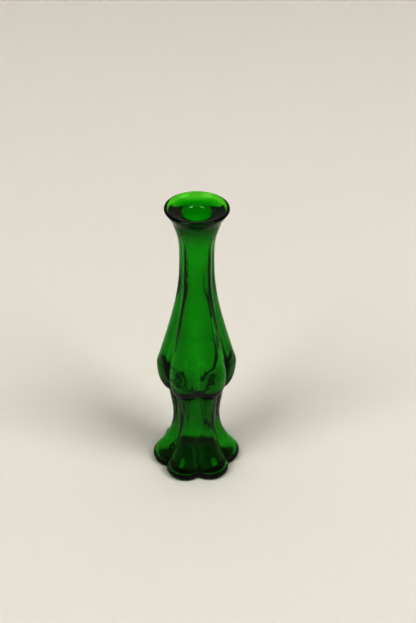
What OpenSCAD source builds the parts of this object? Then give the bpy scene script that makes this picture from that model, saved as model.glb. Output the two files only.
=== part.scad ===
// Bud vase, one piece of glass blown into a mould: a petal foot, a fluted waist, a
// pear-shaped fluted bulb and a slim neck under a flared lip. Six flutes run from the
// foot to the neck and fade out below the lip. The cavity follows them all the way down
// into the petals of the foot. The wall is mostly three to six millimetres thick, thickest
// under the bulb and thinnest in the valleys of the foot.
// Frame: +Z up the axis, origin at the centre of the resting plane, a flute valley at -Y.

/* [Whole vase] */
// Overall height, from the resting plane to the top of the lip
height = 216; // [214:0.5:220]
// Number of flutes around the vase
flutes = 6; // [5:1:8]

/* [Foot] */
// Radius across the petals of the foot
foot_r = 32.3; // [31:0.1:35]
// Height at which the foot is widest
foot_edge = 4.2; // [3:0.2:5]
// How far the foot's lower edge is rounded in
foot_round = 3; // [2:0.25:4]
// Radius of the hollow under the foot
punt_r = 20; // [12:1:21]
// Depth of the hollow under the foot
punt_depth = 0.8; // [0.4:0.1:1]

/* [Waist and bulb] */
// Radius across the flutes at the waist
waist_r = 17; // [16:0.2:18]
// Height of the waist
waist_z = 43; // [42:0.5:45]
// Radius across the flutes at the widest part of the bulb
bulb_r = 28.3; // [27:0.1:30]
// Height of the widest part of the bulb
bulb_z = 89.5; // [88:0.5:92]
// Height of the bulb's rounded underside
bulb_under = 20; // [18:0.5:21]
// How far the underside of the bulb stands out over the waist
bulb_over = 8; // [6:0.25:9]

/* [Neck and lip] */
// Outer radius of the neck at its narrowest
neck_r = 11.8; // [11.7:0.1:13]
// Height of the neck's narrowest place
neck_z = 175; // [170:1:180]
// Outer radius of the lip
lip_r = 21.5; // [20:0.25:23]
// Radius of the lip's rounded edge
lip_round = 1.15; // [1:0.05:1.3]

/* [Cavity] */
// Radius of the straight throat in the neck
throat_r = 8.4; // [7.5:0.1:8.6]
// Height at which the straight throat starts
throat_low = 160; // [156:1:164]
// Depth of the mouth's shallow dish below the top of the lip, at the edge of the throat
dish_depth = 4.2; // [3.4:0.1:5]
// Depth below the top of the lip at which the dish meets the lip's inner side
rim_depth = 2.6; // [2.2:0.1:2.8]
// Radius of the rounded edge between the dish and the throat
mouth_round = 3.2; // [1.5:0.1:3.4]
// Height of the cavity's floor above the resting plane
floor_z = 2.8; // [2.5:0.1:3.4]
// Radius of the cavity across the petals, just above its floor
floor_r = 29.6; // [27:0.1:29.8]
// Radius of the rounded corner between the cavity's floor and its wall
floor_round = 3.4; // [2.5:0.1:3.6]

/* [Hidden] */
glass_green = [0.04, 0.5, 0.06, 0.8];

facets_per_flute = 10;
cavity_facets = 8;
ring_step = 4.6;
cavity_step = 4.6;
round_steps = 5;
shelf_steps = 8;
dish_steps = 6;
$fn = 96;

// Stations of the outer skin below and above the bulb's rounded underside:
// [height, radius across the flutes, lean], where the lean is the change of radius for
// each millimetre of height
lip_centre_z = height - lip_round;
lip_under = 35;
lip_join_z = lip_centre_z - lip_round * sin(lip_under);
lip_join_r = lip_r - lip_round * (1 - cos(lip_under));
shelf_r = bulb_r - bulb_over;
shelf_z = bulb_z - bulb_under;
lower_skin = [
    [foot_edge, foot_r, 0],
    [8.2, foot_r - 1.3, -0.65],
    [12.5, foot_r - 4.6, -0.78],
    [16.5, foot_r - 7.3, -0.66],
    [24, foot_r - 11.5, -0.45],
    [waist_z, waist_r, 0],
    [shelf_z, shelf_r, 0.12]
];
upper_skin = [
    [bulb_z, bulb_r, 0],
    [98, bulb_r - 2.1, -0.28],
    [133, neck_r + 5.1, -0.235],
    [neck_z, neck_r, 0],
    [196, neck_r + 1.6, 0.27],
    [204, neck_r + 4.1, 0.37],
    [209.5, lip_r - 3.2, 0.66],
    [lip_join_z, lip_join_r, 0.7]
];

// Stations of the valleys between the flutes: [height, valley radius / flute radius, lean]
valleys = [
    [0, 0.82, 0],
    [17, 0.75, 0],
    [44, 0.92, 0],
    [64, 0.86, -0.005],
    [76, 0.8, 0],
    [bulb_z, 0.8, 0],
    [115, 0.87, 0.0015],
    [154, 0.925, 0.001],
    [178, 0.945, 0.001],
    [202, 1, 0]
];

// Stations of the cavity: [height, radius across the flutes, lean], and its own valleys
cavity_skin = [
    [floor_z + floor_round, floor_r, -0.3],
    [9, floor_r - 2.1, -0.85],
    [12.5, floor_r - 5.4, -0.88],
    [16.5, floor_r - 8.7, -0.7],
    [24, floor_r - 13.2, -0.45],
    [waist_z + 2, waist_r - 6, 0.02],
    [62, waist_r - 4.2, 0.1],
    [shelf_z, waist_r - 2.7, 0.3],
    [shelf_z + 5.5, bulb_r - 9.8, 1.3],
    [bulb_z - 9, bulb_r - 6.3, 0.25],
    [bulb_z + 1, bulb_r - 5.2, 0],
    [102, bulb_r - 7.4, -0.26],
    [135, throat_r + 4.2, -0.2],
    [throat_low - 2, throat_r + 0.2, -0.1],
    [throat_low + 1, throat_r - 0.4, -0.2]
];
cavity_valleys = [
    [0, 0.8, 0],
    [24, 0.8, 0],
    [waist_z + 2, 0.93, 0],
    [62, 0.9, -0.005],
    [74, 0.82, 0],
    [bulb_z + 1, 0.816, 0],
    [115, 0.86, 0.0015],
    [135, 0.9, 0.003],
    [throat_low - 6, 1, 0]
];

// Smooth curve through stations, with the lean given at each of them
function hermite(a, b, z) =
    let (
        span = b[0] - a[0],
        t = (z - a[0]) / span,
        t2 = t * t,
        t3 = t2 * t
    )
    (2 * t3 - 3 * t2 + 1) * a[1] + (t3 - 2 * t2 + t) * span * a[2]
    + (3 * t2 - 2 * t3) * b[1] + (t3 - t2) * span * b[2];

function along(stations, z, i = 0) =
    z <= stations[0][0] ? stations[0][1]
    : i == len(stations) - 1 ? stations[i][1]
    : z <= stations[i + 1][0] ? hermite(stations[i], stations[i + 1], z)
    : along(stations, z, i + 1);

// Heights spread evenly over a list of stations, both ends included
function heights(stations, step) =
    let (
        low = stations[0][0],
        high = stations[len(stations) - 1][0],
        count = ceil((high - low) / step)
    )
    [for (i = [0 : count]) low + (high - low) * i / count];

// Flute of circular section: its radius at an angle from the flute's middle, as a share
// of the radius across the flutes, for a valley at the share c
function flute(angle, c) =
    let (
        half = cos(180 / flutes),
        offset = (1 - c * c) / (2 - 2 * c * half),
        rho = 1 - offset
    )
    offset * cos(angle) + sqrt(rho * rho - pow(offset * sin(angle), 2));

// Rings of the outer skin from the resting plane to the top of the lip: [height, radius]
outer_rings = concat(
    [for (i = [0 : round_steps - 1])
        let (t = 90 * (1 - i / round_steps))
        [foot_edge * (1 - sin(t)), foot_r - foot_round * (1 - cos(t))]],
    [for (z = heights(lower_skin, ring_step)) [z, along(lower_skin, z)]],
    [for (i = [1 : shelf_steps - 1])
        let (t = 90 * i / shelf_steps)
        [bulb_z - bulb_under * cos(t), shelf_r + bulb_over * sin(t)]],
    [for (z = heights(upper_skin, ring_step)) [z, along(upper_skin, z)]],
    [for (i = [1 : round_steps])
        let (t = -lip_under + (90 + lip_under) * i / round_steps)
        [lip_centre_z + lip_round * sin(t), lip_r - lip_round * (1 - cos(t))]]
);

// Rings of the cavity from its floor up into the throat: [height, radius]
cavity_rings = concat(
    [for (i = [0 : round_steps - 1])
        let (t = 90 * i / round_steps)
        [floor_z + floor_round * (1 - cos(t)), floor_r - floor_round * (1 - sin(t))]],
    [for (z = heights(cavity_skin, cavity_step)) [z, along(cavity_skin, z)]]
);

// Closed solid over a stack of fluted rings, flat at its two ends
module fluted_solid(rings, valleys, facets) {
    sides = flutes * facets;
    step = 360 / sides;
    top = len(rings) - 1;
    points = [
        for (ring = rings, k = [0 : sides - 1])
            let (
                from_valley = (k % facets) * step,
                r = ring[1] * flute(from_valley - 180 / flutes, along(valleys, ring[0])),
                a = k * step
            )
            [r * sin(a), -r * cos(a), ring[0]]
    ];
    walls = [
        for (j = [0 : top - 1], k = [0 : sides - 1])
            let (
                a = j * sides + k,
                b = j * sides + (k + 1) % sides,
                c = b + sides,
                d = a + sides
            )
            each [[a, c, b], [a, d, c]]
    ];
    base = [[for (k = [0 : sides - 1]) k]];
    lid = [[for (k = [sides - 1 : -1 : 0]) top * sides + k]];
    polyhedron(points = points, faces = concat(base, lid, walls));
}

// Straight throat, rounded edge, and the shallow dish of the mouth, which a small fillet
// joins to the inner side of the lip, which leans outward
module mouth_form() {
    throat_slope = 3;
    rim_slope = 18;
    lip_lean = 22;
    lip_stop = 80;
    fillet = 0.7;
    fillet_steps = 3;
    lip_steps = 5;
    throat_start = throat_low - 1.5;
    edge_r = throat_r + mouth_round * (1 - sin(throat_slope));
    edge_z = height - dish_depth;
    throat_top = edge_z - mouth_round * cos(throat_slope);
    lip_side_r = lip_r - lip_round - lip_round * cos(lip_lean);
    lip_side_z = lip_centre_z + lip_round * sin(lip_lean);
    corner_z = height - rim_depth + fillet;
    corner_r = lip_side_r - (lip_side_z - corner_z) * tan(lip_lean);
    fillet_r = corner_r - fillet * cos(lip_lean);
    fillet_z = corner_z + fillet * sin(lip_lean);
    rim_r = fillet_r + fillet * sin(rim_slope);
    rim_z = fillet_z - fillet * cos(rim_slope);
    // [radius, height, slope]
    dish = [
        [edge_r, edge_z, tan(throat_slope)],
        [rim_r, rim_z, tan(rim_slope)]
    ];
    above = 3;
    outline = concat(
        [[0, throat_start], [throat_r, throat_start]],
        [for (i = [0 : round_steps])
            let (t = (90 - throat_slope) * i / round_steps)
            [throat_r + mouth_round * (1 - cos(t)), throat_top + mouth_round * sin(t)]],
        [for (i = [1 : dish_steps])
            let (r = edge_r + (rim_r - edge_r) * i / dish_steps)
            [r, along(dish, r)]],
        [for (i = [1 : fillet_steps])
            let (t = 90 - rim_slope + (lip_lean - 90 + rim_slope) * i / fillet_steps)
            [fillet_r + fillet * cos(t), fillet_z - fillet * sin(t)]],
        [for (i = [0 : lip_steps])
            let (t = lip_lean + (lip_stop - lip_lean) * i / lip_steps)
            [lip_r - lip_round - lip_round * cos(t), lip_centre_z + lip_round * sin(t)]],
        [[lip_r - lip_round, height + above], [0, height + above]]
    );
    rotate_extrude()
        polygon(outline);
}

// Shallow hollow under the foot, part of a large sphere
module punt_form() {
    ball_r = (punt_r * punt_r + punt_depth * punt_depth) / (2 * punt_depth);
    translate([0, 0, punt_depth - ball_r])
        sphere(r = ball_r);
}

module vase() {
    color(glass_green)
        difference() {
            fluted_solid(outer_rings, valleys, facets_per_flute);
            fluted_solid(cavity_rings, cavity_valleys, cavity_facets);
            mouth_form();
            punt_form();
        }
}

vase();
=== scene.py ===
import math

import bmesh
import bpy
from mathutils import Matrix, Vector, noise


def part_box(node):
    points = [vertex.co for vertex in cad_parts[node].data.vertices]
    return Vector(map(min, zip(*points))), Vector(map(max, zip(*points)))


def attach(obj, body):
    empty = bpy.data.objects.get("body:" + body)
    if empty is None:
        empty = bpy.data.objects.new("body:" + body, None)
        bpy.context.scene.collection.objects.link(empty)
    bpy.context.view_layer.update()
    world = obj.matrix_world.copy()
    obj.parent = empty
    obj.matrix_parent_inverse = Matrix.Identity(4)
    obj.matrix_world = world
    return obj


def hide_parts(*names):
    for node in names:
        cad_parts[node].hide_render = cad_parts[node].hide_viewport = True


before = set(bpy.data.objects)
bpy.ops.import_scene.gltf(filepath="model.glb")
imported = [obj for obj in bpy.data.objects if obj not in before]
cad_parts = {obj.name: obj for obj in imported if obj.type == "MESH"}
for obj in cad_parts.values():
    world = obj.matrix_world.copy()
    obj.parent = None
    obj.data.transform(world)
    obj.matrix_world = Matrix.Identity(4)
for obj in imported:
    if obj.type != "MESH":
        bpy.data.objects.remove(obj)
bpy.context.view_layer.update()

MM = 0.001
low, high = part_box("vase")
HEIGHT = high.z / MM
FOOT_R = (high.x - low.x) / 2 / MM

# ---------------------------------------------------------------- driving dimensions, mm
FLUTES = 6
FOOT_EDGE, FOOT_ROUND = 4.2, 3.0
PUNT_R, PUNT_DEPTH = 20.0, 0.8
WAIST_R, WAIST_Z = 17.0, 43.0
BULB_R, BULB_Z = 28.3, 89.5
BULB_UNDER, BULB_OVER = 20.0, 8.0
SHELF_R, SHELF_Z = BULB_R - BULB_OVER, BULB_Z - BULB_UNDER
NECK_R, NECK_Z = 11.8, 175.0
LIP_R, LIP_ROUND = 21.5, 1.15
LIP_CENTRE_Z = HEIGHT - LIP_ROUND
LIP_UNDER, LIP_INNER = math.radians(35), math.radians(22)
LIP_FOOT_R = LIP_R - LIP_ROUND * (1 - math.cos(LIP_UNDER))
LIP_FOOT_Z = LIP_CENTRE_Z - LIP_ROUND * math.sin(LIP_UNDER)
THROAT_R, THROAT_LOW = 8.4, 160.0
MOUTH_ROUND, MOUTH_FALL = 3.2, math.radians(3)
DISH_Z = HEIGHT - 4.2
DISH_EDGE_Z, DISH_SLOPE = HEIGHT - 2.6, math.radians(18)
FILLET = 0.7
FLOOR_Z = 2.8
FLOOR_R, FLOOR_ROUND = 29.6, 3.4

# how finely the glass is made; the points crowd towards the valleys
AROUND = 192
CROWDING = 0.11
OUTSIDE_STEP = 1.15
INSIDE_STEP = 1.4
FLAT_STEP = 2.5
ROUND_STEPS = 8
FILLET_STEPS = 5
SHELF_STEPS = 26
DISH_STEPS = 14
WELD = 0.001 * MM

# [height, radius across the flutes, lean] up the outside, below and above the bulb's round underside
LOWER_SKIN = [
    (FOOT_EDGE, FOOT_R, 0),
    (8.2, FOOT_R - 1.3, -0.65),
    (12.5, FOOT_R - 4.6, -0.78),
    (16.5, FOOT_R - 7.3, -0.66),
    (24, FOOT_R - 11.5, -0.45),
    (WAIST_Z, WAIST_R, 0),
    (SHELF_Z, SHELF_R, 0.12),
]
UPPER_SKIN = [
    (BULB_Z, BULB_R, 0),
    (98, BULB_R - 2.1, -0.28),
    (133, NECK_R + 5.1, -0.235),
    (NECK_Z, NECK_R, 0),
    (196, NECK_R + 1.6, 0.27),
    (204, NECK_R + 4.1, 0.37),
    (209.5, LIP_R - 3.2, 0.66),
    (LIP_FOOT_Z, LIP_FOOT_R, 0.7),
]
# the same up the cavity, from the round edge of its floor to the straight throat
CAVITY = [
    (FLOOR_Z + FLOOR_ROUND, FLOOR_R, -0.3),
    (9, FLOOR_R - 2.1, -0.85),
    (12.5, FLOOR_R - 5.4, -0.88),
    (16.5, FLOOR_R - 8.7, -0.7),
    (24, FLOOR_R - 13.2, -0.45),
    (WAIST_Z + 2, WAIST_R - 6.0, 0.02),
    (62, WAIST_R - 4.2, 0.1),
    (SHELF_Z, WAIST_R - 2.7, 0.3),
    (SHELF_Z + 5.5, BULB_R - 9.8, 1.3),
    (BULB_Z - 9, BULB_R - 6.3, 0.25),
    (BULB_Z + 1, BULB_R - 5.2, 0),
    (102, BULB_R - 7.4, -0.26),
    (135, THROAT_R + 4.2, -0.2),
    (THROAT_LOW, THROAT_R, 0),
]
# [height, radius in a valley as a share of the radius across the flutes, lean]
VALLEYS = [
    (0, 0.82, 0), (17, 0.75, 0), (44, 0.92, 0), (64, 0.86, -0.005), (76, 0.8, 0), (BULB_Z, 0.8, 0),
    (115, 0.87, 0.0015), (154, 0.925, 0.001), (178, 0.945, 0.001), (202, 1, 0),
]
CAVITY_VALLEYS = [
    (0, 0.8, 0), (24, 0.8, 0), (WAIST_Z + 2, 0.93, 0), (62, 0.9, -0.005), (74, 0.82, 0),
    (BULB_Z + 1, 0.816, 0), (115, 0.86, 0.0015), (135, 0.89, 0.001), (165, 0.92, 0.0005),
    (186, 0.935, 0.0008), (204, 1, 0),
]
# how far the bottom of a valley is rounded, outside, and inside as [height, angle, lean]
VALLEY_SOFT = math.radians(0.5)
WALL_SOFT = [
    (0, math.radians(1), 0), (WAIST_Z, math.radians(5), 0), (BULB_Z, math.radians(8), 0),
    (140, math.radians(3), 0), (200, math.radians(2), 0),
]

# the fine seam of the mould, and the heights at which it has gone and is full, near the foot and the lip
SEAM_WIDTH, SEAM_HEIGHT = 0.45, 0.42
SEAM_LOW, SEAM_HIGH = (3, 9), (200, 170)
# how the blown inner wall strays from the even form, and the heights at which that has gone and is full:
# [how far, how often around, length of a wave up the wall, where in the noise it starts]
WAVER = [(0.2, 5, 60, (0, 0, 0)), (0.07, 13, 45, (4, 1, 0)), (0.28, 2, 18, (0, 0, 7))]
WAVER_HIGH = (205, 185)

# seed bubbles in the glass: [turn from the front valley in degrees, height, radius, stretch]
SEEDS = [
    (-20, 118, 0.36, 1.7), (33, 131, 0.22, 2.2), (150, 101, 0.3, 1.5), (-95, 62, 0.24, 1.4),
    (78, 30, 0.26, 1.2), (-131, 209, 0.34, 1.0), (-160, 152, 0.22, 2.0),
]
OUTER, INNER = 0, 1


# ---------------------------------------------------------------- curves
def along(stations, z):
    """Smooth curve through stations of (place, value, lean), level beyond both ends."""
    if z <= stations[0][0]:
        return stations[0][1]
    for (z0, v0, s0), (z1, v1, s1) in zip(stations, stations[1:]):
        if z <= z1:
            span = z1 - z0
            t = (z - z0) / span
            return ((2 * t**3 - 3 * t**2 + 1) * v0 + (t**3 - 2 * t**2 + t) * span * s0
                    + (3 * t**2 - 2 * t**3) * v1 + (t**3 - t**2) * span * s1)
    return stations[-1][1]


def ramp(value, start, end):
    """0 at start and 1 at end, straight between them and level beyond."""
    return min(1, max(0, (value - start) / (end - start)))


def spread(start, end, step):
    """Evenly spaced values from start to end, both included, at most a step apart."""
    count = math.ceil(abs(end - start) / step)
    return [start + (end - start) * i / count for i in range(count + 1)]


def heights(stations, step):
    """Evenly spaced heights over the whole of a table of stations."""
    return spread(stations[0][0], stations[-1][0], step)


def arc(centre_r, centre_z, radius, start, end, steps=ROUND_STEPS):
    """Points of an arc in the half section, angles in radians from the outward direction."""
    angles = [start + (end - start) * i / steps for i in range(steps + 1)]
    return [(centre_r + radius * math.cos(angle), centre_z + radius * math.sin(angle)) for angle in angles]


# ---------------------------------------------------------------- half section of the glass
def outside_line():
    """From the middle of the hollow under the foot to the top of the lip."""
    ball = (PUNT_R**2 + PUNT_DEPTH**2) / (2 * PUNT_DEPTH)
    line = [(r, PUNT_DEPTH - ball + math.sqrt(ball**2 - r**2)) for r in spread(0, PUNT_R, FLAT_STEP)]
    line += [(r, 0.0) for r in spread(PUNT_R, FOOT_R - FOOT_ROUND, FLAT_STEP)[1:-1]]
    for i in range(ROUND_STEPS):
        t = math.pi / 2 * (1 - i / ROUND_STEPS)
        line.append((FOOT_R - FOOT_ROUND * (1 - math.cos(t)), FOOT_EDGE * (1 - math.sin(t))))
    line += [(along(LOWER_SKIN, z), z) for z in heights(LOWER_SKIN, OUTSIDE_STEP)]
    for i in range(1, SHELF_STEPS):
        t = math.pi / 2 * i / SHELF_STEPS
        line.append((SHELF_R + BULB_OVER * math.sin(t), BULB_Z - BULB_UNDER * math.cos(t)))
    line += [(along(UPPER_SKIN, z), z) for z in heights(UPPER_SKIN, OUTSIDE_STEP)]
    return line + arc(LIP_R - LIP_ROUND, LIP_CENTRE_Z, LIP_ROUND, -LIP_UNDER, math.pi / 2)[1:]


def inside_line():
    """From the top of the lip through the dish and the throat to the middle of the cavity's floor."""
    line = arc(LIP_R - LIP_ROUND, LIP_CENTRE_Z, LIP_ROUND, math.pi / 2, math.pi - LIP_INNER)[1:]
    lip_r, lip_z = line[-1]
    corner_z = DISH_EDGE_Z + FILLET
    corner_r = lip_r - (lip_z - corner_z) * math.tan(LIP_INNER) - FILLET * math.cos(LIP_INNER)
    fillet_z = corner_z + FILLET * math.sin(LIP_INNER)
    line += arc(corner_r, fillet_z, FILLET, -LIP_INNER, DISH_SLOPE - math.pi / 2, FILLET_STEPS)
    dish_r, dish_z = line[-1]
    edge_r = THROAT_R + MOUTH_ROUND * (1 - math.sin(MOUTH_FALL))
    throat_top = DISH_Z - MOUTH_ROUND * math.cos(MOUTH_FALL)
    dish = [(edge_r, DISH_Z, math.tan(MOUTH_FALL)), (dish_r, dish_z, math.tan(DISH_SLOPE))]
    line += [(r, along(dish, r)) for r in spread(dish_r, edge_r, (dish_r - edge_r) / DISH_STEPS)[1:-1]]
    line += arc(THROAT_R + MOUTH_ROUND, throat_top, MOUTH_ROUND, math.pi / 2 + MOUTH_FALL, math.pi)
    line += [(THROAT_R, z) for z in spread(throat_top, THROAT_LOW, INSIDE_STEP)[1:-1]]
    line += [(along(CAVITY, z), z) for z in reversed(heights(CAVITY, INSIDE_STEP))]
    flat_r = FLOOR_R - FLOOR_ROUND
    line += arc(flat_r, FLOOR_Z + FLOOR_ROUND, FLOOR_ROUND, 0, -math.pi / 2)[1:]
    return line + [(r, FLOOR_Z) for r in spread(flat_r, 0, FLAT_STEP)[1:]]


# ---------------------------------------------------------------- making meshes and objects
def add_object(name, data):
    made = bpy.data.objects.new(name, data)
    bpy.context.scene.collection.objects.link(made)
    return made


def turn_line(mesh, verts, steps):
    """Turns a line of vertices into a round skin about the upright axis."""
    edges = [mesh.edges.new(pair) for pair in zip(verts, verts[1:])]
    bmesh.ops.spin(mesh, geom=verts + edges, axis=(0, 0, 1), cent=(0, 0, 0), angle=2 * math.pi,
                   steps=steps, use_merge=True, use_duplicate=False)
    bmesh.ops.remove_doubles(mesh, verts=mesh.verts, dist=WELD)


def add_smooth(name, mesh):
    """Makes a finished mesh a smooth-shaded object."""
    for face in mesh.faces:
        face.smooth = True
    data = bpy.data.meshes.new(name)
    mesh.to_mesh(data)
    mesh.free()
    return add_object(name, data)


# ---------------------------------------------------------------- the vase
def flute(angle, valley, soft):
    """Radius of a flute of circular section at an angle from the valley, as a share of its largest radius."""
    half = math.pi / FLUTES
    offset = (1 - valley**2) / (2 - 2 * valley * math.cos(half))
    section_r = 1 - offset
    from_middle = half - math.sqrt(angle**2 + soft**2)
    return offset * math.cos(from_middle) + math.sqrt(section_r**2 - (offset * math.sin(from_middle))**2)


def mould_seam(turn, z, r):
    """How far the seam stands out from the front and the back valley."""
    across = math.asin(math.sin(turn)) * r / SEAM_WIDTH
    return SEAM_HEIGHT * ramp(z, *SEAM_HIGH) * ramp(z, *SEAM_LOW) * math.exp(-across**2)


def wall_waver(turn, z):
    """How far the inner wall strays here: long streaks, fine streaks and a slow sway."""
    around = Vector((math.sin(turn), math.cos(turn), 0))
    return sum(far * noise.noise(around * often + Vector((0, 0, z / length)) + Vector(start))
               for far, often, length, start in WAVER)


def glass_radius(turn, z, r, side):
    """Radius of one surface at a turn from the front valley, from its radius across the flutes."""
    pitch = 2 * math.pi / FLUTES
    from_valley = abs((turn + pitch / 2) % pitch - pitch / 2)
    if side == OUTER:
        r *= flute(from_valley, along(VALLEYS, z), VALLEY_SOFT)
        return r + mould_seam(turn, z, r)
    r *= flute(from_valley, along(CAVITY_VALLEYS, z), along(WALL_SOFT, z))
    return r + wall_waver(turn, z) * ramp(z, *WAVER_HIGH) * ramp(r, 0, THROAT_R)


def place_at(turn, z, r):
    """The point at a turn from the front valley, in metres."""
    return Vector((r * math.sin(turn), -r * math.cos(turn), z)) * MM


def shape_glass(vert, side):
    """Moves one vertex of the turned form out to its flute; those on the axis stay."""
    if vert.co.xy.length < WELD:
        return
    x, y, z = vert.co / MM
    turn = math.atan2(x, -y)
    turn -= CROWDING * math.sin(FLUTES * turn)
    vert.co = place_at(turn, z, glass_radius(turn, z, math.hypot(x, y), side))


def add_seeds(mesh):
    """Small closed bubbles of air in the middle of the wall, long in the direction of blowing."""
    for degrees, z, radius, stretch in SEEDS:
        turn = math.radians(degrees)
        skin = LOWER_SKIN if z < SHELF_Z else UPPER_SKIN
        outer = glass_radius(turn, z, along(skin, z), OUTER)
        inner = glass_radius(turn, z, along(CAVITY, z), INNER)
        place = Matrix.Translation(place_at(turn, z, (outer + inner) / 2))
        form = Matrix.Diagonal((1, 1, stretch, 1))
        made = bmesh.ops.create_icosphere(mesh, subdivisions=2, radius=radius * MM, matrix=place @ form)
        faces = {face for vert in made["verts"] for face in vert.link_faces}
        bmesh.ops.reverse_faces(mesh, faces=list(faces))


def make_vase():
    """One closed line, up the outside and down the inside, turned and then moved out to the flutes."""
    mesh = bmesh.new()
    side = mesh.verts.layers.int.new("side")
    verts = []
    for which, line in ((OUTER, outside_line()), (INNER, inside_line())):
        for r, z in line:
            vert = mesh.verts.new((0, -r * MM, z * MM))
            vert[side] = which
            verts.append(vert)
    turn_line(mesh, verts, AROUND)
    for vert in mesh.verts:
        shape_glass(vert, vert[side])
    bmesh.ops.recalc_face_normals(mesh, faces=mesh.faces)
    add_seeds(mesh)
    return add_smooth("glass_vase", mesh)


# ---------------------------------------------------------------- materials
# the two colour inputs and the colour output of a Mix node, by number, because its names repeat
MIX_FIRST, MIX_SECOND, MIX_RESULT = 6, 7, 2


class Value:
    """A number that changes over the surface; expressions on it add Math nodes."""

    def __init__(self, maker, socket):
        self.maker = maker
        self.socket = socket

    def math(self, operation, first, second, clamp=False):
        settings = {"operation": operation, "use_clamp": clamp}
        return self.maker.node("ShaderNodeMath", settings, {0: first, 1: second})

    def __add__(self, other):
        return self.math("ADD", self, other)

    def __sub__(self, other):
        return self.math("SUBTRACT", self, other)

    def __rsub__(self, other):
        return self.math("SUBTRACT", other, self)

    def __mul__(self, other):
        return self.math("MULTIPLY", self, other)

    def held(self):
        """The same value kept between 0 and 1."""
        return self.math("ADD", self, 0, clamp=True)

    __radd__ = __add__
    __rmul__ = __mul__


class Finish:
    """A new material and the one way in which its nodes are added."""

    def __init__(self, name):
        self.material = bpy.data.materials.new(name)
        self.material.use_nodes = True
        self.tree = self.material.node_tree
        self.shader = self.tree.nodes["Principled BSDF"]

    def put(self, socket, value):
        if isinstance(value, Value):
            self.tree.links.new(value.socket, socket)
        else:
            socket.default_value = value

    def node(self, kind, settings=None, inputs=None, output=0):
        made = self.tree.nodes.new(kind)
        for name, setting in (settings or {}).items():
            setattr(made, name, setting)
        for name, value in (inputs or {}).items():
            self.put(made.inputs[name], value)
        return Value(self, made.outputs[output])

    def set(self, **sockets):
        for name, value in sockets.items():
            self.put(self.shader.inputs[name.replace("_", " ")], value)


def green_glass():
    """Clear emerald glass, coloured through its thickness, fire-polished, scuffed where it stands."""
    clear, film_tint, film_share = (1, 1, 1, 1), (0.93, 0.95, 0.92, 1), 0.5
    film_from, film_gain, film_roughness = 0.52, 4, 0.006
    scuff_top, scuff_fade, scuff_roughness = 0.7 * MM, 0.4 * MM, 0.5
    through = {"Color": (0.364, 0.9, 0.0, 1), "Density": 1070.0}

    glass = Finish("green_glass")
    place = glass.node("ShaderNodeTexCoord", output="Object")
    up = glass.node("ShaderNodeSeparateXYZ", inputs={0: place}, output="Z")
    scuffs = glass.node("ShaderNodeTexNoise", inputs={"Vector": place, "Scale": 900.0, "Detail": 3.0})
    film = glass.node("ShaderNodeTexNoise",
                      inputs={"Vector": place, "Scale": 38.0, "Detail": 4.0, "Roughness": 0.6})
    ripple = glass.node("ShaderNodeTexNoise", inputs={"Vector": place, "Scale": 55.0, "Detail": 1.0})
    standing = ((scuff_top - up) * (1 / scuff_fade)).held()
    handled = ((film - film_from) * film_gain).held()
    tint = glass.node("ShaderNodeMix", {"data_type": "RGBA"},
                      {"Factor": handled * film_share, MIX_FIRST: clear, MIX_SECOND: film_tint}, MIX_RESULT)
    bump = glass.node("ShaderNodeBump", inputs={"Height": ripple, "Strength": 0.1, "Distance": 0.1 * MM})
    glass.set(Base_Color=tint, Roughness=handled * film_roughness + standing * scuffs * scuff_roughness,
              Normal=bump, IOR=1.52, Transmission_Weight=1.0)
    depth = glass.node("ShaderNodeVolumeAbsorption", inputs=through)
    glass.put(glass.tree.nodes["Material Output"].inputs["Volume"], depth)
    return glass.material


def pale_paper():
    paper = Finish("pale_paper")
    paper.set(Base_Color=(0.785, 0.763, 0.722, 1), Roughness=0.9)
    return paper.material


# ---------------------------------------------------------------- the stage
# the camera: its way round the vase, down and over in degrees, its place in metres, its lens in mm
CAMERA_ROUND, CAMERA_DOWN, CAMERA_ROLL = -4.5, 35.48, 0.542
CAMERA_PLACE = (0.00786, -0.6514, 0.5971)
CAMERA_LENS, CAMERA_SENSOR = 66.94, 36
# the paper: radius of its flat part, radius of its bend and height of its wall, in metres
PAPER_R, PAPER_BEND, PAPER_TOP = 2.3, 0.6, 3.4
PAPER_STEPS, BEND_STEPS = 72, 12
ROOM_COLOUR = (0.025, 0.025, 0.025, 1)
# [name, place, what it points at, size, watts], in metres
SOFT_BOXES = [
    ("soft_box_left", (-1.5, -1.0, 2.3), (0, 2.2, 0), 1.4, 23),
    ("soft_box_right", (1.5, -1.0, 2.3), (0, 2.2, 0), 1.4, 27),
    ("soft_box_over", (0, 0.3, 3.2), (0, 0.3, 0), 2.4, 9),
]


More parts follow.
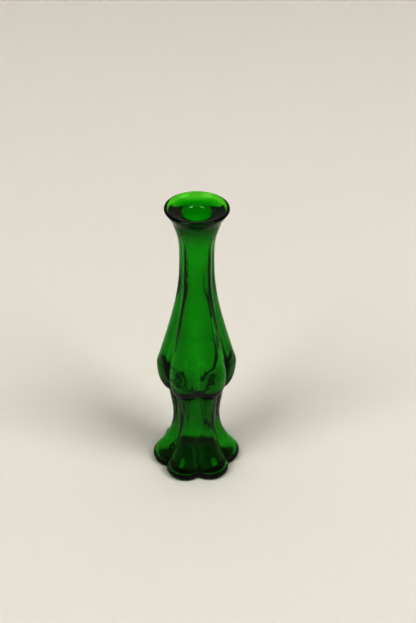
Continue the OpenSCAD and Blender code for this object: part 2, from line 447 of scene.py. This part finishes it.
def make_camera():
    """A camera above the front, a little to the left, that looks down at the vase."""
    data = bpy.data.cameras.new("camera")
    data.lens = CAMERA_LENS
    data.sensor_width = CAMERA_SENSOR
    camera = add_object("camera", data)
    around = Matrix.Rotation(math.radians(CAMERA_ROUND), 4, "Z")
    tilt = Matrix.Rotation(math.radians(90 - CAMERA_DOWN), 4, "X")
    roll = Matrix.Rotation(math.radians(CAMERA_ROLL), 4, "Z")
    camera.matrix_world = around @ Matrix.Translation(CAMERA_PLACE) @ tilt @ roll
    bpy.context.scene.camera = camera


def make_floor():
    """Round floor of pale paper whose edge turns up into a wall all the way round."""
    mesh = bmesh.new()
    bend = arc(PAPER_R, PAPER_BEND, PAPER_BEND, -math.pi / 2, 0, BEND_STEPS)
    line = [(0.0, 0.0)] + bend + [(PAPER_R + PAPER_BEND, PAPER_TOP)]
    turn_line(mesh, [mesh.verts.new((0, -r, z)) for r, z in line], PAPER_STEPS)
    for face in mesh.faces:
        if face.normal.z + face.normal.xy.dot(-face.calc_center_median().xy) < 0:
            face.normal_flip()
    floor = add_smooth("floor", mesh)
    floor.data.materials.append(pale_paper())


def make_lights():
    """Two side lights for the highlights, a soft one overhead and a dim room."""
    for name, place, aim, size, power in SOFT_BOXES:
        data = bpy.data.lights.new(name, "AREA")
        data.shape = "SQUARE"
        data.size = size
        data.energy = power
        direction = Vector(aim) - Vector(place)
        facing = direction.to_track_quat("-Z", "Y").to_matrix().to_4x4()
        add_object(name, data).matrix_world = Matrix.Translation(place) @ facing
    world = bpy.data.worlds.new("dim_room")
    world.use_nodes = True
    world.node_tree.nodes["Background"].inputs["Color"].default_value = ROOM_COLOUR
    bpy.context.scene.world = world


scene = bpy.context.scene
scene.view_settings.view_transform = "Standard"
scene.view_settings.look = "Very High Contrast"
scene.view_settings.gamma = 0.88
scene.cycles.max_bounces = 24
scene.cycles.transmission_bounces = 24
scene.cycles.glossy_bounces = 12

make_camera()
make_floor()
make_lights()
vase = make_vase()
vase.data.materials.append(green_glass())
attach(vase, "root")
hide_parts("vase")
